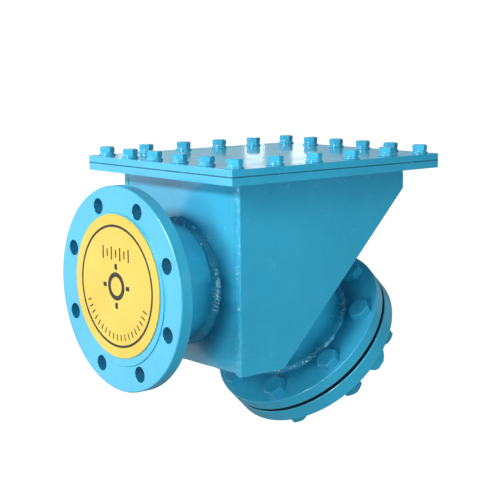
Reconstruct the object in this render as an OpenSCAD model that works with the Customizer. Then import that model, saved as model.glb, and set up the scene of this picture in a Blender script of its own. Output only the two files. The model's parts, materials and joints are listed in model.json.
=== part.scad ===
// Box-type basket strainer: a welded plate box with a flanged side inlet,
// a bolted lid on top, a lift-out perforated basket inside, and a flanged
// neck set at 45 degrees on the sloping bottom, closed by a blind flange.
// Millimetres. +X runs along the inlet axis into the box, +Z is up.
// Origin: centre of the inlet flange, on the face its bolt holes open in.
// The raised sealing face stands in front of it, on the -X side.

/* [Pipe flanges] */
// Outside diameter of the pipe flanges
flange_od = 285; // [270:1:300]
// Thickness of a pipe flange behind its raised face
flange_t = 19; // [16:0.5:24]
// Thickness of the blind flange behind its raised face
blind_t = 24; // [18:0.5:26]
// Diameter of the raised sealing face
face_d = 212; // [202:1:212]
// Height of the raised sealing face
face_h = 2; // [2:0.5:3]
// Bolt circle diameter of the pipe flanges
pcd = 240; // [236:1:244]
// Diameter of the flange bolt holes
hole_d = 22; // [20:0.5:23]
// Number of flange bolt holes
flange_holes = 8; // [8]
// Outside diameter of both pipe necks
pipe_od = 168.3; // [159:0.1:168.3]
// Wall thickness of both pipe necks
pipe_wall = 4.5; // [4:0.1:7.1]

/* [Box] */
// Distance from the bolt face of the inlet flange to the box
inlet_reach = 106; // [95:1:130]
// Length of the box along the inlet axis
box_l = 313; // [300:1:330]
// Width of the box over its side plates
box_w = 267; // [255:1:275]
// Height of the box top above the inlet axis
box_top = 149.5; // [146:0.5:160]
// Depth of the side plates below the inlet axis
box_deep = 116.5; // [114:0.5:122]
// Height of the upright back edge of the side plates
back_h = 31; // [22:0.5:34]
// Thickness of the box plates
plate_t = 6; // [5:0.5:8]
// How far the bottom plates sit inside the side plate edges
edge_step = 4; // [2:0.5:6]

/* [Lid] */
// How far the lid and its flange reach past the box ends
lid_over_x = 40; // [36:0.5:44]
// Width of the lid
lid_w = 333; // [325:1:340]
// Thickness of the box flange under the lid
rim_t = 10; // [8:0.5:12]
// Thickness of the lid gasket
gasket_t = 2; // [1.5:0.5:3]
// Thickness of the lid
lid_t = 9; // [8:0.5:12]
// Bolts along each side of the lid, corners included
lid_bolts = 6; // [5:1:6]
// Distance from the lid edge to its end rows of bolts
inset_x = 20; // [19:0.5:22]
// Distance from the lid edge to its side rows of bolts
inset_y = 18.5; // [17:0.5:19]

/* [Neck at 45 degrees] */
// Distance from the origin to the back of the neck flange, along the neck axis
neck_reach = 298; // [285:0.5:310]
// Distance from the origin to the neck axis, square to that axis
neck_shift = 162.5; // [150:0.5:170]
// Thickness of the neck gasket
neck_gasket_t = 2; // [2:0.5:3]

/* [Basket] */
// Thickness of the basket plates
sheet_t = 2; // [1.5:0.5:3]
// Diameter of the basket holes
perf_d = 10; // [8:0.5:12]
// Distance between the basket holes
perf_pitch = 20; // [18:1:26]
// Gap between the basket slope and the sloping plate
basket_gap = 10; // [8:1:14]
// Length of the basket handle from its pivot
handle_l = 95; // [80:1:100]
// Diameter of the handle rod
rod_d = 7; // [6:0.5:8]

/* [Inlet protection disc] */
// Diameter of the thin disc on the inlet face
disc_d = 199; // [190:1:200]
// Thickness of the disc
disc_t = 2; // [1:0.5:3]
// How far the disc sits above the inlet axis
disc_up = 5; // [0:0.5:6]

/* [Hidden] */
$fn = 96;

paint = [0.20, 0.62, 0.80];
paint_dark = [0.14, 0.50, 0.68];
steel = [0.72, 0.73, 0.75];
yellow = [0.99, 0.84, 0.32];
black = [0.12, 0.12, 0.13];

r2 = sqrt(2);
xa = inlet_reach;                  // outer face of the inlet wall
xb = inlet_reach + box_l;          // outer face of the back wall
zt = box_top;
zf = -box_deep;
yo = box_w/2;
yi = yo - plate_t;
zk = zt - back_h;                  // where the back edge turns to the slope
slope = xb - zk;                   // x - z along the sloping edge
zs = zf + edge_step;               // underside of the floor plate
so = slope - edge_step*r2;         // x - z on the outside of the sloping plate
si = so - plate_t*r2;              // x - z on its inside
z_g = zt + rim_t;                  // underside of the lid gasket
z_c = z_g + gasket_t;              // underside of the lid
z_l = z_c + lid_t;                 // top of the lid
lx0 = xa - lid_over_x;
lx1 = xb + lid_over_x;
ly = lid_w/2;
bx0 = lx0 + inset_x;
bx1 = lx1 - inset_x;
by = ly - inset_y;

// M12 lid bolts
m_r = 6;
tap_r = m_r + 0.05;
head_af = 19;
head_k = 7.5;
fw_t = 2.5;
sw_t = 3;
bolt_down = z_l + fw_t + sw_t;     // underside of the bolt heads
// M20 neck bolts
n_r = 10;
nut_r = n_r + 0.08;
n_af = 30;
n_head = 12.5;
n_nut = 17;

// neck stations, measured along the neck axis from the back of its flange
n_face = flange_t + face_h;
n_blind = n_face + neck_gasket_t;
n_plate = n_blind + face_h;
n_out = n_plate + blind_t;
n_wall_out = so/r2 - neck_reach;
n_wall_in = si/r2 - neck_reach;

// basket
b_x0 = xa + plate_t + 1;
b_y = yi - 18.5;
b_top = zt - 20;
b_bot = zs + plate_t + 10.5;
b_s = si - basket_gap*r2;          // x - z on the outside of the basket slope
b_si = b_s - sheet_t*r2;
rim_x1 = xb - plate_t - 4;
rail_w = 16;
rail_t = 4;
h_x = (b_x0 + rim_x1)/2;           // handle pivot
h_z = b_top + 13;
h_y = 98;

module bolt_circle(n, d) for ($i = [0:n-1]) rotate([0, 0, 360/n*($i + 0.5)]) translate([d/2, 0, 0]) children();
module in_line() rotate([0, 90, 0]) children();
module at_neck() translate([(neck_reach + neck_shift)/r2, 0, (neck_shift - neck_reach)/r2]) rotate([0, 135, 0]) children();
module xz(y0, y1, pts) translate([0, y1, 0]) rotate([90, 0, 0]) linear_extrude(y1 - y0) polygon(pts);
module lid_spots(z) {
    for (i = [0:lid_bolts-1], s = [-1, 1])
        translate([bx0 + (bx1 - bx0)*i/(lid_bolts - 1), s*by, z]) children();
    for (i = [1:lid_bolts-2], s = [bx0, bx1])
        translate([s, -by + 2*by*i/(lid_bolts - 1), z]) children();
}
module hex(af, k, ch = 0.93) {
    R = af/2/cos(30);
    c = R - af/2*ch;
    intersection() {
        cylinder(r = R, h = k, $fn = 6);
        rotate_extrude() polygon([[0, 0], [R + 1, 0], [R + 1, k - (c + 1)*tan(30)], [R - c, k], [0, k]]);
    }
}
module hex_nut(af, k, bore) {
    R = af/2/cos(30);
    c = R - af/2*0.93;
    difference() {
        intersection() {
            cylinder(r = R, h = k, $fn = 6);
            rotate_extrude() polygon([[0, 0], [R - c, 0], [R + 1, (c + 1)*tan(30)], [R + 1, k - (c + 1)*tan(30)], [R - c, k], [0, k]]);
        }
        translate([0, 0, -1]) cylinder(r = bore, h = k + 2);
    }
}
// a flange standing on z = 0 with its raised face on top
module flange(t, bore) {
    c = 1;
    difference() {
        rotate_extrude() polygon([[bore, 0], [flange_od/2 - c, 0], [flange_od/2, c], [flange_od/2, t - c],
            [flange_od/2 - c, t], [face_d/2, t], [face_d/2, t + face_h], [bore, t + face_h]]);
        translate([0, 0, -1]) bolt_circle(flange_holes, pcd) cylinder(d = hole_d, h = t + 2, $fn = 48);
    }
}
module pipe(z0, z1) translate([0, 0, z0]) difference() {
    cylinder(d = pipe_od, h = z1 - z0);
    translate([0, 0, -1]) cylinder(d = pipe_od - 2*pipe_wall, h = z1 - z0 + 2);
}
// fillet weld round a pipe: leg a up the plate, leg b along the pipe
module ring_weld(z, up, a = 6, b = 6) translate([0, 0, z]) rotate_extrude()
    polygon([[pipe_od/2, 0], [pipe_od/2 + a, 0], [pipe_od/2, up*b]]);

module inlet_flange() color(paint) translate([flange_t, 0, 0]) rotate([0, -90, 0]) flange(flange_t, pipe_od/2);
module inlet_pipe() color(paint) in_line() pipe(3, xa + plate_t);
module inlet_wall() color(paint) difference() {
    xz(-yi, yi, [[xa, zs], [xa + plate_t, zs], [xa + plate_t, zt], [xa, zt]]);
    in_line() translate([0, 0, xa - 1]) cylinder(d = pipe_od, h = plate_t + 2);
}
module side_plate(y0) xz(y0, y0 + plate_t, [[xa, zt], [xa, zf], [zf + slope, zf], [xb, zk], [xb, zt]]);
module side_wall_near() color(paint_dark) side_plate(-yo);
module side_wall_far() color(paint_dark) side_plate(yi);
module back_wall() color(paint_dark) xz(-yi, yi, [[xb, xb - so], [xb, zt], [xb - plate_t, zt], [xb - plate_t, xb - plate_t - si]]);
module slant_wall() color(paint_dark) difference() {
    xz(-yi, yi, [[zs + so, zs], [xb, xb - so], [xb - plate_t, xb - plate_t - si], [zs + plate_t + si, zs + plate_t]]);
    at_neck() translate([0, 0, n_wall_in - 1]) cylinder(d = pipe_od, h = plate_t + 2);
}
module floor_plate() color(paint_dark) xz(-yi, yi, [[xa + plate_t, zs], [zs + so, zs], [zs + plate_t + si, zs + plate_t], [xa + plate_t, zs + plate_t]]);
module frame_plate(z, t, hole_r) difference() {
    translate([lx0, -ly, z]) cube([lx1 - lx0, 2*ly, t]);
    translate([xa + plate_t, -yi, z - 1]) cube([box_l - 2*plate_t, 2*yi, t + 2]);
    lid_spots(z - 1) cylinder(r = hole_r, h = t + 2, $fn = 32);
}
module top_flange() color(paint) frame_plate(zt, rim_t, tap_r);
module top_gasket() color(black) frame_plate(z_g, gasket_t, m_r + 1);
module basket_rails() color(paint_dark) for (s = [-1, 1])
    translate([xa + plate_t + 6, s > 0 ? yi - rail_w : -yi, b_top - rail_t]) cube([box_l - 28, rail_w, rail_t]);
module leg_pipe() color(paint) at_neck() pipe(n_wall_in, n_face - 6);
module leg_flange() color(paint) at_neck() flange(flange_t, pipe_od/2);
module leg_bolts() color(paint) at_neck() bolt_circle(flange_holes, pcd) {
    mirror([0, 0, 1]) rotate([0, 0, 12 + 23*$i]) hex(n_af, n_head);
    translate([0, 0, -1]) cylinder(r = n_r, h = n_out + n_nut + 4, $fn = 48);
    translate([0, 0, n_out + n_nut + 3]) cylinder(r1 = n_r, r2 = n_r - 1.5, h = 1.5, $fn = 48);
}
module leg_gasket() color(black) at_neck() translate([0, 0, n_face]) difference() {
    cylinder(d = face_d, h = neck_gasket_t);
    translate([0, 0, -1]) cylinder(d = pipe_od + 4, h = neck_gasket_t + 2);
}
module nozzle_welds() color(paint) {
    in_line() { ring_weld(flange_t, 1); ring_weld(xa, -1, 7, 10); }
    at_neck() { ring_weld(n_wall_out, 1, 7, 8); ring_weld(0, -1); }
}
module seam_welds() color(paint) {
    w = 5;
    for (s = [-1, 1]) {
        // under the lid flange, along both side plates
        translate([xa, s*yo, zt]) rotate([90, 0, 90]) linear_extrude(box_l) polygon([[0, 0], [s*w, 0], [0, -w]]);
        // in the steps between the bottom plates and the side plates
        translate([xa, s*yi, zs]) rotate([90, 0, 90]) linear_extrude(zs + so - xa - 2) polygon([[0, 0], [-s*edge_step, 0], [0, -edge_step]]);
        translate([zs + so, s*yi, zs]) rotate([0, -45, 0]) translate([2, 0, 0]) rotate([90, 0, 90])
            linear_extrude((xb - zs - so)*r2 - 4) polygon([[0, 0], [-s*edge_step, 0], [0, -edge_step]]);
    }
    // under the lid flange, across the two end walls
    translate([xa, yo, zt]) rotate([90, 0, 0]) linear_extrude(box_w) polygon([[0, 0], [-w, 0], [0, -w]]);
    translate([xb, yo, zt]) rotate([90, 0, 0]) linear_extrude(box_w) polygon([[0, 0], [w, 0], [0, -w]]);
}
module cover_plate() color(paint) difference() {
    translate([lx0, -ly, z_c]) cube([lx1 - lx0, 2*ly, lid_t]);
    lid_spots(z_c - 1) cylinder(r = m_r + 1, h = lid_t + 2, $fn = 32);
}
module cover_bolts() color(paint) lid_spots(bolt_down) {
    rotate([0, 0, 15]) hex(head_af, head_k);
    translate([0, 0, zt + 0.5 - bolt_down]) cylinder(r = m_r, h = bolt_down - zt + 0.5, $fn = 32);
}
module cover_spring_washers() color(paint) lid_spots(z_l + fw_t) difference() {
    cylinder(d = 20.4, h = sw_t, $fn = 48);
    translate([0, 0, -1]) cylinder(d = 12.4, h = sw_t + 2, $fn = 48);
    rotate([0, 0, 40]) translate([5, -0.8, -1]) cube([8, 1.6, sw_t + 2]);
}
module cover_flat_washers() color(paint) lid_spots(z_l) difference() {
    cylinder(d = 24, h = fw_t, $fn = 48);
    translate([0, 0, -1]) cylinder(d = 13, h = fw_t + 2, $fn = 48);
}

module basket_rim() color(steel) difference() {
    translate([b_x0, -yi + 4.5, b_top]) cube([rim_x1 - b_x0, 2*yi - 9, 4]);
    translate([b_x0 + 6, -b_y + 6, b_top - 1]) cube([b_top + b_si - 8 - b_x0, 2*b_y - 12, 6]);
}
module basket_front() color(steel) difference() {
    translate([b_x0, -b_y + sheet_t, b_bot]) cube([sheet_t, 2*(b_y - sheet_t), b_top - b_bot]);
    in_line() translate([0, 0, b_x0 - 1]) cylinder(r = 80, h = sheet_t + 2);
}
// staggered holes over a length and a width, centred on x
module perf(l, w, h) {
    rows = floor(l/(perf_pitch*sqrt(3)/2));
    for (j = [0:rows], i = [-floor(w/perf_pitch/2) - 1:floor(w/perf_pitch/2) + 1])
        if (abs((i + (j % 2)/2)*perf_pitch) <= w/2 - perf_d/2 && j*perf_pitch*sqrt(3)/2 + perf_d/2 <= l)
            translate([(i + (j % 2)/2)*perf_pitch, perf_d/2 + j*perf_pitch*sqrt(3)/2, 0]) cylinder(d = perf_d, h = h, $fn = 24);
}
module basket_side(y0) difference() {
    xz(y0, y0 + sheet_t, [[b_x0, b_top], [b_x0, b_bot], [b_bot + b_s, b_bot], [b_top + b_s, b_top]]);
    for (j = [0:floor((b_top - b_bot - 30)/(perf_pitch*sqrt(3)/2))], i = [0:16]) {
        z = b_bot + 16 + j*perf_pitch*sqrt(3)/2;
        x = b_x0 + 16 + (i + (j % 2)/2)*perf_pitch;
        if (x - z < b_s - 16*r2) translate([x, y0 - 1, z]) rotate([-90, 0, 0]) cylinder(d = perf_d, h = sheet_t + 2, $fn = 24);
    }
}
module basket_side_near() color(steel) basket_side(-b_y);
module basket_side_far() color(steel) basket_side(b_y - sheet_t);
module basket_floor_screen() color(steel) difference() {
    xz(-b_y + sheet_t, b_y - sheet_t, [[b_x0 + sheet_t, b_bot], [b_bot + b_s, b_bot], [b_bot + sheet_t + b_si, b_bot + sheet_t], [b_x0 + sheet_t, b_bot + sheet_t]]);
    translate([b_x0 + 10, 0, b_bot - 1]) rotate([0, 0, -90]) perf(b_bot + b_s - b_x0 - 14, 2*b_y - 16, sheet_t + 2);
}
module basket_slope_screen() color(steel) difference() {
    xz(-b_y + sheet_t, b_y - sheet_t, [[b_bot + b_s, b_bot], [b_top + b_s, b_top], [b_top + b_si, b_top], [b_bot + sheet_t + b_si, b_bot + sheet_t]]);
    translate([b_bot + b_s, 0, b_bot]) rotate([0, -45, 0]) translate([10, 0, -1]) rotate([0, 0, -90])
        perf((b_top - b_bot)*r2 - 24, 2*b_y - 16, sheet_t + 2);
}
module basket_lugs() color(steel) for (s = [-1, 1]) translate([h_x, s*106 + 2, 0]) rotate([90, 0, 0]) difference() {
    union() {
        translate([-9, b_top + 4, 0]) cube([18, h_z - b_top - 4, 4]);
        translate([0, h_z, 0]) cylinder(r = 9, h = 4, $fn = 64);
    }
    translate([0, h_z, -1]) cylinder(d = rod_d + 0.1, h = 6, $fn = 48);
}
module basket_handle() color(steel) translate([h_x, 0, h_z]) {
    c = 14;
    r = rod_d/2;
    for (s = [-1, 1]) {
        translate([0, s > 0 ? h_y : -h_y - 15, 0]) rotate([-90, 0, 0]) cylinder(r = r, h = 15, $fn = 48);
        translate([0, s*h_y, 0]) sphere(r = r, $fn = 48);
        translate([0, s*h_y, 0]) rotate([0, 90, 0]) cylinder(r = r, h = handle_l - c, $fn = 48);
        translate([handle_l - c, s*(h_y - c), 0]) rotate([0, 0, s > 0 ? 0 : -90]) rotate_extrude(angle = 90) translate([c, 0]) circle(r = r, $fn = 32);
    }
    translate([handle_l, -h_y + c, 0]) rotate([-90, 0, 0]) cylinder(r = r, h = 2*(h_y - c), $fn = 48);
}

module blind_flange() color(paint) at_neck() translate([0, 0, n_out]) mirror([0, 0, 1]) difference() {
    rotate_extrude() polygon([[0, 0], [flange_od/2 - 1, 0], [flange_od/2, 1], [flange_od/2, blind_t - 1],
        [flange_od/2 - 1, blind_t], [face_d/2, blind_t], [face_d/2, blind_t + face_h], [0, blind_t + face_h]]);
    translate([0, 0, -1]) bolt_circle(flange_holes, pcd) cylinder(d = hole_d, h = blind_t + 2, $fn = 48);
}
module leg_nuts() color(paint) at_neck() translate([0, 0, n_out]) bolt_circle(flange_holes, pcd) rotate([0, 0, 20 + 17*$i]) hex_nut(n_af, n_nut, nut_r);
// solid lug near the rim of the blind flange, in the plane of the near side plate
module cover_lug() color(paint) at_neck() translate([-1.5, -130, n_out]) rotate([90, 0, 0])
    linear_extrude(8) polygon([[-21, 0], [21, 0], [13.5, 12], [7, 17], [-7, 17], [-13.5, 12]]);
module inlet_disc() color(yellow) in_line() translate([-disc_up, 0, -face_h - disc_t]) cylinder(d = disc_d, h = disc_t, $fn = 128);

inlet_flange();
inlet_pipe();
inlet_wall();
side_wall_near();
side_wall_far();
back_wall();
slant_wall();
floor_plate();
top_flange();
top_gasket();
basket_rails();
leg_pipe();
leg_flange();
leg_bolts();
leg_gasket();
nozzle_welds();
seam_welds();
cover_plate();
cover_bolts();
cover_spring_washers();
cover_flat_washers();
basket_rim();
basket_front();
basket_side_near();
basket_side_far();
basket_slope_screen();
basket_floor_screen();
basket_lugs();
basket_handle();
blind_flange();
leg_nuts();
cover_lug();
inlet_disc();
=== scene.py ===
import bpy, bmesh, math, json, random
from mathutils import Vector, Matrix, noise


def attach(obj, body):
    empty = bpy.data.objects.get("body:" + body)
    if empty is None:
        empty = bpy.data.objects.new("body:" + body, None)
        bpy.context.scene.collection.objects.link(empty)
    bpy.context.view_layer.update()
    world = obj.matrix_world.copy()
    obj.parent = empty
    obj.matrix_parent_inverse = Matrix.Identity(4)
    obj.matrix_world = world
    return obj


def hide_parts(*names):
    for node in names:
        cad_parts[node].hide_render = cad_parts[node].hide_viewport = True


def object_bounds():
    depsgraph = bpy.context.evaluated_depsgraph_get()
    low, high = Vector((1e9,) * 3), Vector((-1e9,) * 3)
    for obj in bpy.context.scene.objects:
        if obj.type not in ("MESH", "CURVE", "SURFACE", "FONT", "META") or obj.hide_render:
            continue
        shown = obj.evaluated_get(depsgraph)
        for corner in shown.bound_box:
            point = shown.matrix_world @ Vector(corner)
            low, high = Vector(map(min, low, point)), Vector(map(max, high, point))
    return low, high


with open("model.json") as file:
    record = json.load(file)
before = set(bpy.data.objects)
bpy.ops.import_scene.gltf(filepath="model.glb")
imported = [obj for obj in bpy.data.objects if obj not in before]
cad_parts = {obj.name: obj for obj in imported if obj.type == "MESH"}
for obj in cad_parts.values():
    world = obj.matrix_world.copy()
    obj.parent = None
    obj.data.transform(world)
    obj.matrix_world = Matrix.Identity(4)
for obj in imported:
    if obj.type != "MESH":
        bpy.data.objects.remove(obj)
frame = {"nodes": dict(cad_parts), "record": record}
CAD_LO, CAD_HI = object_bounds()
N = frame["nodes"]
scene = bpy.context.scene
R2 = math.sqrt(0.5)
MM = 0.001

# ------------------------------------------------------------------ camera
cam_data = bpy.data.cameras.new("camera")
cam = bpy.data.objects.new("camera", cam_data)
scene.collection.objects.link(cam)
cam_data.sensor_width = 36
cam_data.lens = 93.97
cam_data.clip_start, cam_data.clip_end = 0.05, 60
right = Vector((0.764709, -0.644344, -0.006473))
down = Vector((-0.103068, -0.112393, -0.988304))
fwd = Vector((0.63608, 0.756432, -0.152359))
m = Matrix((right, -down, -fwd)).transposed().to_4x4()
m.translation = Vector((-0.99243, -1.45984, 0.32445))
cam.matrix_world = m
scene.camera = cam


# ------------------------------------------------------------------ materials
class Nodes:
    def __init__(self, name):
        self.mat = bpy.data.materials.new(name)
        self.mat.use_nodes = True
        self.nt = self.mat.node_tree
        for n in list(self.nt.nodes):
            self.nt.nodes.remove(n)
        self.out = self.add("ShaderNodeOutputMaterial")
        self.b = self.add("ShaderNodeBsdfPrincipled")
        self.link(self.b.outputs[0], self.out.inputs[0])
        self.tc = self.add("ShaderNodeTexCoord").outputs["Object"]

    def add(self, kind, **kw):
        n = self.nt.nodes.new(kind)
        for k, v in kw.items():
            setattr(n, k, v)
        return n

    def link(self, a, b):
        self.nt.links.new(a, b)

    def mapping(self, scale=(1, 1, 1), loc=(0, 0, 0), rot=(0, 0, 0)):
        n = self.add("ShaderNodeMapping")
        n.inputs["Scale"].default_value = scale
        n.inputs["Location"].default_value = loc
        n.inputs["Rotation"].default_value = rot
        self.link(self.tc, n.inputs["Vector"])
        return n.outputs[0]

    def noise(self, scale, detail=3.0, rough=0.5, vec=None, dist=0.0):
        n = self.add("ShaderNodeTexNoise")
        n.inputs["Scale"].default_value = scale
        n.inputs["Detail"].default_value = detail
        n.inputs["Roughness"].default_value = rough
        n.inputs["Distortion"].default_value = dist
        self.link(vec or self.tc, n.inputs["Vector"])
        return n.outputs[0]

    def ramp(self, fac, stops, interp="LINEAR"):
        n = self.add("ShaderNodeValToRGB")
        r = n.color_ramp
        r.interpolation = interp
        while len(r.elements) > 1:
            r.elements.remove(r.elements[-1])
        for i, (p, c) in enumerate(stops):
            c = (c, c, c, 1) if isinstance(c, (int, float)) else (*c, 1)
            if i == 0:
                r.elements[0].position, r.elements[0].color = p, c
            else:
                r.elements.new(p).color = c
        self.link(fac, n.inputs[0])
        return n.outputs[0]

    def mix(self, fac, a, b, blend="MIX"):
        n = self.add("ShaderNodeMix", data_type="RGBA", blend_type=blend)
        for s, v in ((0, fac), (6, a), (7, b)):
            if isinstance(v, (int, float)):
                n.inputs[s].default_value = v
            elif isinstance(v, tuple):
                n.inputs[s].default_value = (*v, 1)
            else:
                self.link(v, n.inputs[s])
        return n.outputs[2]

    def math(self, op, a, b=0.0, clamp=False):
        n = self.add("ShaderNodeMath", operation=op, use_clamp=clamp)
        for i, v in enumerate((a, b)):
            if isinstance(v, (int, float)):
                n.inputs[i].default_value = v
            else:
                self.link(v, n.inputs[i])
        return n.outputs[0]

    def vec(self, op, a, b):
        n = self.add("ShaderNodeVectorMath", operation=op)
        for i, v in enumerate((a, b)):
            if isinstance(v, (tuple, Vector)):
                n.inputs[i].default_value = tuple(v)
            else:
                self.link(v, n.inputs[i])
        return n

    def corner_distance(self, centre, axis, radius):
        """Distance in metres from the circular inner corner where a pipe meets a plate."""
        q = self.vec("SUBTRACT", self.tc, centre).outputs[0]
        t = self.vec("DOT_PRODUCT", q, axis).outputs["Value"]
        off = self.vec("CROSS_PRODUCT", q, axis).outputs[0]
        ln = self.add("ShaderNodeVectorMath", operation="LENGTH")
        self.link(off, ln.inputs[0])
        rho = self.math("SUBTRACT", ln.outputs["Value"], radius)
        return self.math("SQRT", self.math("ADD", self.math("MULTIPLY", t, t), self.math("MULTIPLY", rho, rho)))

    def bump(self, height, distance, strength=1.0, normal=None):
        n = self.add("ShaderNodeBump")
        n.inputs["Strength"].default_value = strength
        n.inputs["Distance"].default_value = distance
        self.link(height, n.inputs["Height"])
        if normal is not None:
            self.link(normal, n.inputs["Normal"])
        return n.outputs[0]


def enamel(name, base, peel=0.00006, wave=0.0006, specks=0.5, edge_wear_and_highlight=True, rough=(0.20, 0.34), painted_glints=0.0, coat=0.12, painted_edge_highlight=0.28, painted_shade=False, coat_w=0.70):
    k = Nodes(name)
    b = k.b
    dark = tuple(c * 0.94 for c in base)
    light = tuple(min(1.0, c * 1.04 + 0.003) for c in base)
    broad = k.noise(7, 3, 0.55)
    fine = k.noise(55, 4, 0.6)
    col = k.ramp(broad, [(0.32, dark), (0.5, base), (0.70, light)])
    tone = k.ramp(fine, [(0.30, 0.965), (0.62, 1.0)])
    col = k.mix(1.0, col, tone, "MULTIPLY")
    # settled dust and thin runs, stretched along the vertical
    runs = k.noise(30, 3, 0.6, k.mapping((1, 1, 0.12), (3.1, 1.7, 0.4)))
    col = k.mix(k.ramp(runs, [(0.62, 0.0), (0.74, 0.28)]), col, tuple(c * 0.78 for c in base))
    # fine scratches
    sc = k.noise(22, 2, 0.5, k.mapping((0.5, 0.5, 9), (0.3, 0.9, 0.2), (0.5, 0.35, 0.2)))
    sc_gate = k.ramp(k.noise(9, 2, 0.5, k.mapping((1, 1, 1), (9.1, 4.2, 2.2))), [(0.56, 0.0), (0.64, 1.0)])
    line = k.ramp(sc, [(0.494, 0.0), (0.500, 1.0), (0.506, 0.0)])
    scratch = k.math("MULTIPLY", line, sc_gate)
    col = k.mix(k.math("MULTIPLY", scratch, 0.35), col, (0.42, 0.66, 0.74))
    # pale specks in the paint
    vo = k.add("ShaderNodeTexVoronoi")
    vo.inputs["Scale"].default_value = 150
    k.link(k.tc, vo.inputs["Vector"])
    dot = k.ramp(vo.outputs["Distance"], [(0.10, 1.0), (0.17, 0.0)])
    rnd = k.add("ShaderNodeSeparateColor")
    k.link(vo.outputs["Color"], rnd.inputs[0])
    pick = k.ramp(rnd.outputs[0], [(0.972, 0.0), (0.975, 1.0)], "CONSTANT")
    speck = k.math("MULTIPLY", k.math("MULTIPLY", dot, pick), specks)
    col = k.mix(speck, col, (0.62, 0.78, 0.82))
    if painted_glints:
        # painted highlight: bright glint points on the ripples of the bead
        f = k.ramp(k.noise(280, 3, 0.65, k.mapping((1, 1, 1), (6.4, 2.9, 8.8))), [(0.57, 0.0), (0.63, 1.0)])
        g = k.ramp(k.noise(26, 3, 0.6, k.mapping((1, 1, 1), (1.4, 5.9, 3.8))), [(0.49, 0.0), (0.62, 1.0)])
        col = k.mix(k.math("MULTIPLY", k.math("MULTIPLY", f, g), painted_glints), col, (0.82, 0.93, 0.97))
    if painted_shade:
        # painted shade: the paint darkens towards the inner corners beside the pipes and fades out above the middle
        # of the inlet pipe; "side" adds a darker band under the cover flange
        zz = k.add("ShaderNodeSeparateXYZ")
        k.link(k.tc, zz.inputs[0])
        unshaded_above = k.math("MULTIPLY", k.math("MAXIMUM", k.math("SUBTRACT", zz.outputs["Z"], 0.008), 0.0), 1.4)
        d = k.math("MINIMUM", k.math("ADD", k.corner_distance((0.106, 0, 0), (1, 0, 0), 0.084), unshaded_above),
                   k.corner_distance((0.325623, 0, -0.095813), (R2, 0, -R2), 0.084))
        d = k.math("ADD", d, k.math("MULTIPLY", k.math("SUBTRACT", k.noise(24, 3, 0.6), 0.5), 0.022))
        shade = k.ramp(k.math("DIVIDE", d, 0.05), [(0.0, (0.20, 0.38, 0.45)), (0.30, (0.34, 0.54, 0.60)), (0.56, (0.72, 0.83, 0.86)), (0.82, (1, 1, 1))])
        col = k.mix(1.0, col, shade, "MULTIPLY")
    if painted_shade == "side":
        # painted shade: a darker band just under the cover flange
        sz = k.add("ShaderNodeSeparateXYZ")
        k.link(k.tc, sz.inputs[0])
        d = k.math("SUBTRACT", 0.1495, sz.outputs["Z"])
        d = k.math("ADD", d, k.math("MULTIPLY", k.math("SUBTRACT", k.noise(16, 3, 0.6), 0.5), 0.02))
        shade = k.ramp(k.math("DIVIDE", d, 0.06), [(0.10, (0.66, 0.70, 0.74)), (0.35, (0.74, 0.78, 0.81)), (0.95, (1, 1, 1))])
        col = k.mix(1.0, col, shade, "MULTIPLY")
    if edge_wear_and_highlight:
        # painted highlight: a lighter line along every sharp edge; paint rubbed thin in noisy chips along the same
        # edges
        bv = k.add("ShaderNodeBevel", samples=3)
        bv.inputs["Radius"].default_value = 0.0016
        ge = k.add("ShaderNodeNewGeometry")
        dp = k.add("ShaderNodeVectorMath", operation="DOT_PRODUCT")
        k.link(bv.outputs[0], dp.inputs[0])
        k.link(ge.outputs["Normal"], dp.inputs[1])
        edge = k.ramp(dp.outputs["Value"], [(0.90, 1.0), (0.985, 0.0)])
        chips = k.ramp(k.noise(70, 5, 0.7), [(0.57, 0.0), (0.66, 1.0)])
        rub = k.math("MULTIPLY", edge, chips)
        col = k.mix(k.math("MULTIPLY", edge, painted_edge_highlight), col, tuple(min(1.0, c * 1.5 + 0.03) for c in base))
        col = k.mix(k.math("MULTIPLY", rub, 0.45), col, (0.34, 0.56, 0.64))
    k.link(col, b.inputs["Base Color"])
    rr = k.ramp(k.noise(35, 4, 0.6, k.mapping((1, 1, 1), (5, 2, 8))), [(0.3, rough[0]), (0.7, rough[1])])
    k.link(rr, b.inputs["Roughness"])
    b.inputs["Coat Weight"].default_value = coat_w
    b.inputs["Coat Roughness"].default_value = coat
    b.inputs["IOR"].default_value = 1.45
    n1 = k.bump(k.noise(11, 2, 0.5), wave)
    n2 = k.bump(k.noise(420, 2, 0.5), peel, 1.0, n1)
    n3 = k.bump(k.math("ADD", k.math("MULTIPLY", speck, 1.0), k.math("MULTIPLY", scratch, -0.5)), 0.00012, 1.0, n2)
    k.link(n3, b.inputs["Normal"])
    k.link(n2, b.inputs["Coat Normal"])
    return k.mat


BLUE = (0.055, 0.435, 0.630)
# painted shade: enamel_plate darkens in the corners beside the pipes, and enamel_side_plate also darkens under the
# cover flange
paint = enamel("enamel_plate", BLUE, peel=0.00002, wave=0.00030, specks=0.25, rough=(0.18, 0.28), painted_shade=True)
# painted shade: the neck's bolts and nuts get a darker copy of the enamel
paint_leg_bolt_shaded = enamel("enamel_leg_fasteners_painted_shade", tuple(c * f for c, f in zip(BLUE, (0.60, 0.76, 0.80))), peel=0.00003, wave=0.0002, specks=0.25, rough=(0.10, 0.20), painted_edge_highlight=0.55)
paint_side = enamel("enamel_side_plate", BLUE, peel=0.00002, wave=0.00030, specks=0.25, rough=(0.18, 0.28), painted_shade="side")
# painted shade: darker blue for the walls of the inlet flange's bolt holes
paint_hole_shade = enamel("enamel_bolt_holes_painted_shade", tuple(c * f for c, f in zip(BLUE, (0.30, 0.50, 0.58))), peel=0.00003, wave=0.0002, specks=0.1)
paint_top = enamel("enamel_cover", BLUE, peel=0.000006, wave=0.00006, rough=(0.13, 0.21), coat=0.10, coat_w=0.40)
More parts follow.
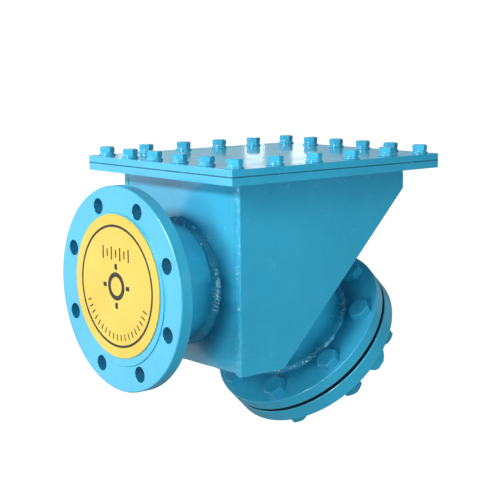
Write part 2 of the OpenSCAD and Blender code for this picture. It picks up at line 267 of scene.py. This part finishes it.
# painted shade: the nozzle weld beads get a darker copy of the enamel, with painted glint points
paint_weld_shade_glints = enamel("enamel_weld_painted_shade", tuple(c * f for c, f in zip(BLUE, (0.40, 0.60, 0.66))), peel=0.00012, wave=0.0004, specks=0.9, edge_wear_and_highlight=False, rough=(0.05, 0.14), painted_glints=1.0, coat=0.04)
# painted highlight: the seam beads get fewer painted glint points
paint_seam = enamel("enamel_seam", tuple(c * 0.97 for c in BLUE), peel=0.00012, wave=0.0004, specks=0.9, edge_wear_and_highlight=False, rough=(0.08, 0.18), painted_glints=0.40, coat=0.06)
# painted light: the cover's bolts and washers get a lighter copy of the enamel
paint_bolt_lit = enamel("enamel_fasteners_painted_light", tuple(c * 1.14 for c in BLUE), peel=0.00003, wave=0.0002, specks=0.25, rough=(0.12, 0.22), painted_edge_highlight=0.42)


def rubber_mat(name, lo_col, hi_col):
    k = Nodes(name)
    mott = k.noise(160, 4, 0.65)
    col = k.ramp(mott, [(0.3, lo_col), (0.7, hi_col)])
    # paint that ran over the edge of the sheet here and there
    over = k.ramp(k.noise(42, 5, 0.72, k.mapping((1, 1, 2.2), (2.3, 7.7, 1.0))), [(0.60, 0.0), (0.66, 1.0)])
    col = k.mix(over, col, tuple(c * 0.75 for c in BLUE))
    k.link(col, k.b.inputs["Base Color"])
    k.link(k.ramp(over, [(0.0, 0.78), (1.0, 0.3)]), k.b.inputs["Roughness"])
    k.link(k.bump(k.noise(300, 4, 0.6), 0.0003), k.b.inputs["Normal"])
    return k.mat


def steel_mat():
    k = Nodes("basket_satin_steel")
    b = k.b
    b.inputs["Metallic"].default_value = 1.0
    streak = k.noise(60, 4, 0.65, k.mapping((0.6, 0.6, 14), (1, 2, 3)))
    broad = k.noise(9, 3, 0.5)
    col = k.ramp(streak, [(0.3, (0.43, 0.44, 0.46)), (0.7, (0.62, 0.63, 0.65))])
    heat = k.ramp(broad, [(0.62, 0.0), (0.80, 0.35)])
    col = k.mix(heat, col, (0.46, 0.40, 0.32))
    k.link(col, b.inputs["Base Color"])
    k.link(k.ramp(streak, [(0.3, 0.26), (0.7, 0.42)]), b.inputs["Roughness"])
    n1 = k.bump(streak, 0.00006)
    k.link(k.bump(broad, 0.0009, 1.0, n1), b.inputs["Normal"])
    return k.mat


def yellow_mat():
    k = Nodes("disc_yellow_plastic")
    b = k.b
    broad = k.noise(14, 3, 0.5)
    col = k.ramp(broad, [(0.3, (0.74, 0.490, 0.062)), (0.7, (0.80, 0.545, 0.092))])
    smudge = k.ramp(k.noise(30, 5, 0.7, k.mapping((1, 1, 1), (4, 4, 1))), [(0.58, 0.0), (0.8, 0.30)])
    col = k.mix(smudge, col, (0.60, 0.40, 0.08))
    k.link(col, b.inputs["Base Color"])
    k.link(k.ramp(k.noise(60, 3, 0.6), [(0.3, 0.36), (0.7, 0.50)]), b.inputs["Roughness"])
    n1 = k.bump(k.noise(500, 3, 0.6), 0.00004)
    k.link(k.bump(k.noise(9, 2, 0.5), 0.0012, 1.0, n1), b.inputs["Normal"])
    return k.mat


def ink_mat():
    k = Nodes("disc_black_ink")
    n = k.noise(260, 4, 0.7)
    k.link(k.ramp(n, [(0.35, (0.016, 0.010, 0.006)), (0.7, (0.055, 0.032, 0.014))]), k.b.inputs["Base Color"])
    k.link(k.ramp(n, [(0.3, 0.40), (0.7, 0.62)]), k.b.inputs["Roughness"])
    k.link(k.bump(n, 0.00003), k.b.inputs["Normal"])
    return k.mat


rubber = rubber_mat("gasket_rubber", (0.002, 0.004, 0.006), (0.006, 0.012, 0.016))
# the cover gasket's edge took some of the paint
rubber_top = rubber_mat("gasket_rubber_painted", (0.008, 0.110, 0.175), (0.022, 0.200, 0.300))
steel, yellow, ink = steel_mat(), yellow_mat(), ink_mat()


def gap_shade_mat():
    k = Nodes("painted_shade_gap")
    # painted shade: near-black blue for the faces inside the gap between the neck flanges
    n = k.noise(70, 4, 0.65)
    k.link(k.ramp(n, [(0.3, (0.003, 0.014, 0.022)), (0.7, (0.006, 0.034, 0.050))]), k.b.inputs["Base Color"])
    k.link(k.ramp(n, [(0.3, 0.55), (0.7, 0.75)]), k.b.inputs["Roughness"])
    k.link(k.bump(n, 0.0001), k.b.inputs["Normal"])
    return k.mat


gap = gap_shade_mat()

BODY = {}
for body, members in frame["record"]["behaviour"]["bodies"].items():
    for n in members:
        BODY[n] = body


# ------------------------------------------------------------------ geometry helpers
def new_object(name, bm, mat, smooth=35):
    me = bpy.data.meshes.new(name)
    bm.to_mesh(me)
    bm.free()
    o = bpy.data.objects.new(name, me)
    scene.collection.objects.link(o)
    me.materials.append(mat)
    for p in me.polygons:
        p.use_smooth = True
    if smooth:
        me.set_sharp_from_angle(angle=math.radians(smooth))
    return o


def softened(node, width, mat, segs=2, angle=28, name=None, smooth=38):
    """A copy of a CAD node with its edges rounded the way thick enamel rounds them."""
    src = N[node]
    bm = bmesh.new()
    bm.from_mesh(src.data)
    bmesh.ops.remove_doubles(bm, verts=bm.verts, dist=2e-6)
    bmesh.ops.dissolve_degenerate(bm, dist=1e-6, edges=bm.edges)
    bmesh.ops.dissolve_limit(bm, angle_limit=math.radians(0.6), verts=bm.verts, edges=bm.edges)
    edges = [e for e in bm.edges if len(e.link_faces) == 2 and e.calc_face_angle(0) > math.radians(angle)]
    if edges and width > 0:
        bmesh.ops.bevel(bm, geom=edges, offset=width, offset_type="OFFSET", segments=segs, profile=0.5,
                        affect="EDGES", clamp_overlap=True, harden_normals=False)
    bmesh.ops.triangulate(bm, faces=[f for f in bm.faces if len(f.verts) > 4])
    o = new_object(name or node + "_visual", bm, mat, smooth=smooth)
    wn = o.modifiers.new("weighted", "WEIGHTED_NORMAL")
    wn.keep_sharp = True
    wn.weight = 60
    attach(o, BODY[node])
    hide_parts(node)
    return o


def sweep(bm, stations, width, prof, pitch, amp, seed, closed, crescent=0.7, lump=1.0):
    """A weld bead along stations [(corner, dirA, dirB, s)], prof(k) giving (a, b, out_a, out_b) in mm."""
    K = 9
    rings = []
    for (P, A, B, s) in stations:
        n1 = noise.noise(Vector((s / 9.0, seed * 3.7, 0.3)))
        n2 = noise.noise(Vector((s / 17.0, seed * 5.1, 4.3)))
        ring = []
        for k in range(K + 1):
            t = k / K
            a, b, oa, ob = prof(t)
            w = math.sin(math.pi * t)
            ph = s / pitch + crescent * w + 1.1 * n2
            saw = ph - math.floor(ph)
            n3 = noise.noise(Vector((s / 31.0, 1.7, seed * 2.3)))
            h = amp * (0.55 + 0.9 * n3) * w * ((1 - saw) ** 1.6 - 0.35)
            h += lump * w * (1.1 * noise.noise(Vector((s / 7.0, t * 1.6, seed * 9.1))) + 0.5 * noise.noise(Vector((s / 2.6, t * 4.0, seed * 4.1))))
            grow = 1 + 0.30 * n1
            q = P + A * ((a * grow + oa * h) * MM) + B * ((b * (1 + 0.22 * n2) + ob * h) * MM)
            ring.append(bm.verts.new(q))
        ring.append(bm.verts.new(P - (A + B) * (0.4 * MM)))
        rings.append(ring)
    n = len(rings)
    for i in range(n if closed else n - 1):
        r0, r1 = rings[i], rings[(i + 1) % n]
        L = len(r0)
        for k in range(L):
            bm.faces.new((r0[k], r0[(k + 1) % L], r1[(k + 1) % L], r1[k]))
    if not closed:
        bm.faces.new(rings[0][::-1])
        bm.faces.new(rings[-1])


def fillet(la, lb, bulge=0.42):
    def prof(t):
        th = t * math.pi / 2
        ca, cb = la * (1 - t), lb * t
        ea, eb = la * math.cos(th), lb * math.sin(th)
        a, b = ca + (ea - ca) * bulge * 1.4, cb + (eb - cb) * bulge * 1.4
        return a, b, math.cos(th), math.sin(th)
    return prof


def flat_bead(w, h):
    def prof(t):
        th = t * math.pi
        return w / 2 * math.cos(th), h * math.sin(th), math.cos(th) * 0.3, math.sin(th)
    return prof


def line_stations(p0, p1, A, B, step=0.8):
    p0, p1 = Vector(p0) * MM, Vector(p1) * MM
    L = (p1 - p0).length / MM
    n = max(2, int(L / step))
    return [(p0.lerp(p1, i / n), Vector(A), Vector(B), L * i / n) for i in range(n + 1)]


def ring_stations(centre, ax, ra, rb, radius, B, step=0.8):
    c, ra, rb = Vector(centre) * MM, Vector(ra), Vector(rb)
    n = int(2 * math.pi * radius / step)
    out = []
    for i in range(n):
        th = 2 * math.pi * i / n
        r = ra * math.cos(th) + rb * math.sin(th)
        out.append((c + r * (radius * MM), r, Vector(B), radius * 2 * math.pi * i / n))
    return out


# ------------------------------------------------------------------ plates, flanges and fasteners
for n, w in (("inlet_flange", 0.8), ("leg_flange", 1.25), ("blind_flange", 1.25)):
    o = softened(n, w * MM, paint, segs=3)
    if n == "inlet_flange":
        # painted shade: the walls of the eight bolt holes get a darker blue
        o.data.materials.append(paint_hole_shade)
        for f in o.data.polygons:
            for i in range(8):
                a = math.radians(22.5 + 45 * i)
                dy, dz = f.center.y - 0.12 * math.cos(a), f.center.z - 0.12 * math.sin(a)
                if abs(f.normal.x) < 0.3 and math.hypot(dy, dz) < 0.0114:
                    f.material_index = 1
    else:
        # painted shade: the faces that look into the narrow gap between the two neck flanges get a near-black
        # material
        o.data.materials.append(gap)
        face_n = Vector((R2, 0, -R2)) * (1 if n == "leg_flange" else -1)
        top = max((o.data.vertices[v].co).dot(face_n) for f in o.data.polygons for v in f.vertices)
        for f in o.data.polygons:
            if f.normal.dot(face_n) > 0.95 and f.center.dot(face_n) > top - 0.0035 or f.center.dot(face_n) > top - 0.0018:
                f.material_index = 1
for n in ("inlet_pipe", "leg_pipe"):
    softened(n, 0.3 * MM, paint)
for n in ("inlet_wall", "side_wall_near", "side_wall_far", "back_wall", "slant_wall", "floor_plate", "basket_rails"):
    softened(n, 0.55 * MM, paint_side if n.startswith("side_wall") else paint)
softened("top_flange", 0.9 * MM, paint, segs=3)
softened("cover_plate", 0.9 * MM, paint_top, segs=3)
softened("cover_lug", 1.2 * MM, paint, segs=3)
for n in ("cover_bolts", "cover_spring_washers", "cover_flat_washers"):
    softened(n, 0.40 * MM, paint_bolt_lit, segs=3, angle=36, smooth=27)
for n in ("leg_bolts", "leg_nuts"):
    softened(n, 0.45 * MM, paint_leg_bolt_shaded, segs=3, angle=36, smooth=27)
for n, mt in (("top_gasket", rubber_top), ("leg_gasket", rubber)):
    N[n].data.materials.clear()
    N[n].data.materials.append(mt)
for n in ("basket_rim", "basket_front", "basket_side_near", "basket_side_far", "basket_slope_screen", "basket_floor_screen",
          "basket_lugs", "basket_handle"):
    N[n].data.materials.clear()
    N[n].data.materials.append(steel)
disc = softened("inlet_disc", 0.4 * MM, yellow)
for v in disc.data.vertices:
    # the print stands 0.15 mm on the disc, inside the disc's full thickness
    if v.co.x < -0.0034:
        v.co.x += 0.00015

# ------------------------------------------------------------------ weld beads
XA, XB, ZT, YO, YI = 106.0, 419.0, 149.5, 133.5, 127.5
ZF, ZS, SO, SI = -116.5, -112.5, 294.843, 286.358
R_P = 84.15
P0 = Vector((325.623, 0, -95.813))
AX = Vector((R2, 0, -R2))
UP = Vector((R2, 0, R2))
Y = Vector((0, 1, 0))
X = Vector((1, 0, 0))
Z = Vector((0, 0, 1))

bm = bmesh.new()
sweep(bm, ring_stations((XA, 0, 0), X, Y, Z, R_P, -X), 0, fillet(7.2, 10.5), 5.2, 1.5, 1, True)
sweep(bm, ring_stations((19, 0, 0), X, Y, Z, R_P, X), 0, fillet(6, 6), 4.6, 1.0, 2, True)
nw = SO * R2 - 298
sweep(bm, ring_stations(P0 + AX * nw, AX, Y, UP, R_P, AX), 0, fillet(7.2, 8.2), 5.0, 1.2, 3, True)
sweep(bm, ring_stations(P0, AX, Y, UP, R_P, -AX), 0, fillet(6, 6), 4.6, 1.0, 4, True)
bmesh.ops.recalc_face_normals(bm, faces=bm.faces)
nozzle = new_object("nozzle_weld_beads", bm, paint_weld_shade_glints, smooth=60)
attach(nozzle, "housing")
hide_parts("nozzle_welds")

bm = bmesh.new()
seed = 10
for s in (-1, 1):
    sweep(bm, line_stations((XA + 1, s * YO, ZT), (XB - 1, s * YO, ZT), Y * s, -Z), 0, fillet(5, 5.5), 4.8, 1.0, seed, False)
    sweep(bm, line_stations((XA + 0.5, s * YI, ZS), (ZS + SO, s * YI, ZS), -Y * s, -Z), 0, fillet(5, 3.6), 4.4, 0.7, seed + 1, False)
    sweep(bm, line_stations((ZS + SO, s * YI, ZS), (XB - 0.5, s * YI, XB - 0.5 - SO), -Y * s, AX), 0, fillet(5, 3.6), 4.4, 0.7, seed + 2, False)
    sweep(bm, line_stations((XA + 0.3, s * (YI - 0.4), ZS - 2.5), (XA + 0.3, s * (YI - 0.4), ZT - 2), Y * s, -X), 0, flat_bead(10.5, 1.5), 5.6, 0.8, seed + 3, False, lump=1.0)
    sweep(bm, line_stations((XB - 0.3, s * (YI + 1.4), 119.5), (XB - 0.3, s * (YI + 1.4), ZT - 2), Y * s, X), 0, flat_bead(10.0, 1.8), 5.0, 0.8, seed + 4, False)
    seed += 7
sweep(bm, line_stations((XA, -YO + 3, ZT), (XA, YO - 3, ZT), -X, -Z), 0, fillet(5, 5.5), 4.8, 1.0, 31, False)
sweep(bm, line_stations((XB, -YO + 3, ZT), (XB, YO - 3, ZT), X, -Z), 0, fillet(5, 5.5), 4.8, 1.0, 32, False)
sweep(bm, line_stations((XA + 5.2, -YI + 4, ZS + 0.3), (XA + 5.2, YI - 4, ZS + 0.3), X, -Z), 0, flat_bead(9.0, 1.7), 4.8, 0.7, 33, False)


# weld spatter: small round beads stuck to the plates beside the welds
def blob(bm, p, nrm, r):
    q = Vector(nrm).to_track_quat("Z", "Y").to_matrix().to_4x4()
    mtx = Matrix.Translation(Vector(p) * MM) @ q @ Matrix.Diagonal((r * MM, r * MM, 0.62 * r * MM, 1))
    bmesh.ops.create_icosphere(bm, subdivisions=1, radius=1.0, matrix=mtx)


rng = random.Random(7)
for i in range(70):
    th = rng.uniform(0, 2 * math.pi)
    rr = R_P + 9 + abs(rng.gauss(0, 9))
    y, z = rr * math.cos(th), rr * math.sin(th)
    if abs(y) < 120 and abs(z) < 108:
        blob(bm, (XA, y, z), (-1, 0, 0), rng.uniform(0.4, 1.1))
for s in (-1, 1):
    for i in range(60):
        blob(bm, (rng.uniform(XA + 6, XB - 6), s * YO, ZT - 8 - abs(rng.gauss(0, 7))), (0, s, 0), rng.uniform(0.35, 1.0))
    for i in range(24):
        blob(bm, (XA + 4 + abs(rng.gauss(0, 5)), s * YO, rng.uniform(-108, 140)), (0, s, 0), rng.uniform(0.35, 0.9))
    for i in range(22):
        blob(bm, (XA, s * (118 - abs(rng.gauss(0, 5))), rng.uniform(-100, 138)), (-1, 0, 0), rng.uniform(0.35, 0.9))
for i in range(26):
    blob(bm, (XA, rng.uniform(-115, 115), ZT - 9 - abs(rng.gauss(0, 5))), (-1, 0, 0), rng.uniform(0.35, 0.9))
bmesh.ops.recalc_face_normals(bm, faces=bm.faces)
seams = new_object("seam_weld_beads", bm, paint_seam, smooth=60)
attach(seams, "housing")
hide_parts("seam_welds")

# ------------------------------------------------------------------ printing on the inlet disc
bm = bmesh.new()
DX, DZ = -3.85, 5.0
INK_T = 0.15


def slab(bm, pts):
    """A thin printed shape on the disc from (y, z) points in mm, counter-clockwise seen from outside."""
    back = [bm.verts.new((DX * MM + 0.00002, y * MM, z * MM)) for y, z in pts]
    front = [bm.verts.new(((DX - INK_T) * MM, y * MM, z * MM)) for y, z in pts]
    n = len(pts)
    bm.faces.new(front)
    bm.faces.new(back[::-1])
    for i in range(n):
        bm.faces.new((front[i], back[i], back[(i + 1) % n], front[(i + 1) % n]))


def arc_band(bm, r0, r1, a0, a1, cy=0.0, cz=DZ, n=None):
    """Part of a flat ring, angles in degrees from -Y towards +Z."""
    n = n or max(2, int(abs(a1 - a0) / 3))
    ang = [math.radians(a0 + (a1 - a0) * i / n) for i in range(n + 1)]
    if abs(a1 - a0) >= 359.9:
        rings = []
        for rad, x in ((r0, DX * MM + 0.00002), (r1, DX * MM + 0.00002), (r1, (DX - INK_T) * MM), (r0, (DX - INK_T) * MM)):
            rings.append([bm.verts.new((x, (cy - rad * math.cos(a)) * MM, (cz + rad * math.sin(a)) * MM)) for a in ang[:-1]])
        for j in range(4):
            a_, b_ = rings[j], rings[(j + 1) % 4]
            for i in range(n):
                bm.faces.new((a_[i], b_[i], b_[(i + 1) % n], a_[(i + 1) % n]))
    else:
        pts = [(cy - r1 * math.cos(a), cz + r1 * math.sin(a)) for a in ang] + [(cy - r0 * math.cos(a), cz + r0 * math.sin(a)) for a in reversed(ang)]
        slab(bm, pts)


arc_band(bm, 81.6, 85.0, 0, 360, n=160)
# short dashes along the lower arc
for i in range(19):
    a = -158 + i * (136 / 18)
    arc_band(bm, 66.5, 75.5, a - 0.8, a + 0.8, n=1)
# centre mark: a ring with four ticks
arc_band(bm, 13.0, 19.5, 0, 360, n=64)
for a in (0, 90, 180, 270):
    c, s = math.cos(math.radians(a)), math.sin(math.radians(a))
    pts = [(23, -3.0), (31, -3.0), (31, 3.0), (23, 3.0)]
    slab(bm, [(-(p * c - q * s), DZ + p * s + q * c) for p, q in pts])
# a row of plain bars above the centre
for i in range(7):
    y, h = -30 + 10 * i, 9.0 if i % 2 == 0 else 5.5
    slab(bm, [(y - 1.3, 50 + h), (y + 1.3, 50 + h), (y + 1.3, 50 - h), (y - 1.3, 50 - h)])
bmesh.ops.recalc_face_normals(bm, faces=bm.faces)
mark = new_object("disc_print", bm, ink, smooth=30)
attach(mark, "disc")

# ------------------------------------------------------------------ stage
floor_z = -1.4
prof = [(0.0, floor_z), (3.0, floor_z), (6.0, floor_z), (8.5, floor_z)]
for i in range(1, 9):
    t = math.radians(90 * i / 8)
    prof.append((8.5 + 1.5 * math.sin(t), floor_z + 1.5 * (1 - math.cos(t))))
for z in (0.3, 0.5, 0.7, 0.8, 0.9, 1.0, 1.3, 2.0, 5.0):
    prof.append((10.0, z))
for i in range(1, 9):
    t = math.radians(90 * i / 9)
    prof.append((10.0 * math.cos(t), 5.0 + 10.0 * math.sin(t)))
bm = bmesh.new()
SEG = 96
rows = []
for r, z in prof:
    if r == 0:
        rows.append([bm.verts.new((0.2, 0, z))])
    else:
        rows.append([bm.verts.new((0.2 + r * math.cos(2 * math.pi * i / SEG), r * math.sin(2 * math.pi * i / SEG), z)) for i in range(SEG)])
for i in range(SEG):
    bm.faces.new((rows[0][0], rows[1][i], rows[1][(i + 1) % SEG]))
for j in range(1, len(rows) - 1):
    for i in range(SEG):
        bm.faces.new((rows[j][i], rows[j + 1][i], rows[j + 1][(i + 1) % SEG], rows[j][(i + 1) % SEG]))
tip = bm.verts.new((0.2, 0, 15.0))
for i in range(SEG):
    bm.faces.new((rows[-1][i], tip, rows[-1][(i + 1) % SEG]))
k = Nodes("studio_white")
sep = k.add("ShaderNodeSeparateXYZ")
k.link(k.tc, sep.inputs[0])
grad = k.ramp(k.math("MULTIPLY", sep.outputs["Z"], 0.5), [(0.0, (1, 1, 1)), (1.0, (0.96, 0.96, 0.96))])
k.link(grad, k.b.inputs["Emission Color"])
k.b.inputs["Emission Strength"].default_value = 1.0
k.b.inputs["Base Color"].default_value = (0.25, 0.25, 0.25, 1)
k.b.inputs["Roughness"].default_value = 1.0
k.b.inputs["Specular IOR Level"].default_value = 0.0
stage = new_object("studio", bm, k.mat, smooth=0)
# the white studio is only a background: the soft light comes from the world and the lamps
stage.visible_diffuse = stage.visible_glossy = stage.visible_transmission = stage.visible_shadow = False
# a low grey band round the studio, which the cover mirrors
bm = bmesh.new()
rows = [[bm.verts.new((0.2 + 9.5 * math.cos(2 * math.pi * i / SEG), 9.5 * math.sin(2 * math.pi * i / SEG), z)) for i in range(SEG)] for z in (0.55, 2.6)]
for i in range(SEG):
    bm.faces.new((rows[0][i], rows[1][i], rows[1][(i + 1) % SEG], rows[0][(i + 1) % SEG]))
k = Nodes("studio_grey")
k.b.inputs["Base Color"].default_value = (0, 0, 0, 1)
k.b.inputs["Specular IOR Level"].default_value = 0.0
k.link(k.ramp(k.noise(0.7, 2, 0.5), [(0.3, (0.28, 0.46, 0.55)), (0.7, (0.46, 0.67, 0.76))]), k.b.inputs["Emission Color"])
k.b.inputs["Emission Strength"].default_value = 1.0
band = new_object("studio_band", bm, k.mat, smooth=0)
band.visible_camera = band.visible_diffuse = band.visible_shadow = band.visible_transmission = False

world = bpy.data.worlds.new("studio")
scene.world = world
world.use_nodes = True
bg = world.node_tree.nodes["Background"]
bg.inputs[0].default_value = (0.55, 0.88, 1.0, 1)
bg.inputs[1].default_value = 0.25


def area(name, loc, target, size, power, size_y=None, color=(1, 1, 1)):
    d = bpy.data.lights.new(name, "AREA")
    d.energy, d.size, d.color = power, size, color
    if size_y:
        d.shape = "RECTANGLE"
        d.size_y = size_y
    o = bpy.data.objects.new(name, d)
    scene.collection.objects.link(o)
    o.location = loc
    o.rotation_euler = (Vector(target) - Vector(loc)).to_track_quat("-Z", "Y").to_euler()
    o.visible_camera = False
    return o


C = Vector((0.1, 0, 0))
key_dir = Vector((-1, 0.0, 0.52)).normalized()
area("key", C + key_dir * 3.2, C, 2.0, 99, 0.42, color=(1, 0.91, 0.95))
# broad soft panel to the left: its sheen lies on the faces that look along -X
left_dir = Vector((-0.636, 0.756, -0.10)).normalized()
area("left_panel", C + left_dir * 3.0, C, 2.4, 15, 1.8, color=(0.84, 0.97, 1.0))
# soft sky-blue light from the near side, in front of the side plate
area("near_panel", (0.0, -1.2, -0.03), (0.12, -0.13, 0.0), 0.75, 5.5, 0.7, color=(0.42, 0.93, 1.0))
# low soft light from the front and the near side: it reaches behind the inlet flange
front_dir = Vector((-1, -0.40, -0.06)).normalized()
o = area("front_panel", C + front_dir * 2.6, C, 0.75, 27, 0.8, color=(0.75, 0.94, 1.0))
o.visible_glossy = False
# soft overhead panel
o = area("overhead", (-0.35, -0.35, 2.4), (0.2, 0, 0), 0.9, 6, 0.9, color=(0.9, 0.97, 1.0))
o.visible_glossy = False
# soft fill for the faces that look away from the camera
o = area("back_panel", (0.9, 2.2, 0.1), (0.2, 0, 0), 1.4, 34, 1.2, color=(0.92, 0.97, 1.0))
o.visible_glossy = False
# tall bright strip: it only draws thin lines along the rims, bolt heads and weld ripples
glint_dir = Vector((-0.95, -0.15, 0.31)).normalized()
o = area("glint_strip", C + glint_dir * 3.2, C, 0.55, 70, 1.9)
o.visible_diffuse = False


# three small bright windows far behind, which the cover mirrors
def window(name, u0, u1, v0, v1, radiance):
    f = 93.97 / 36 * 500
    o = cam.matrix_world.translation
    zt = CAD_HI.z - 0.013

    def hit(u, v):
        d = (right * (u - 250) + down * (v - 250)) / f + fwd
        t = (zt - o.z) / d.z
        p = o + d * t
        d = Vector((d.x, d.y, -d.z)).normalized()
        return p + d * 8.0
    a, b_, c_, d_ = hit(u0, v0), hit(u1, v0), hit(u1, v1), hit(u0, v1)
    mid = (a + b_ + c_ + d_) / 4
    w, h = ((a - b_).length + (c_ - d_).length) / 2, ((a - d_).length + (b_ - c_).length) / 2
    area(name, mid, C + Vector((0.1, 0, 0.17)), w, radiance * math.pi * w * h, h)


window("window_a", 118, 162, 152, 157, 2.6)
window("window_b", 245, 264, 144, 151, 3.2)
window("window_c", 292, 307, 144, 152, 3.2)

scene.view_settings.view_transform = "Standard"
scene.view_settings.look = "None"
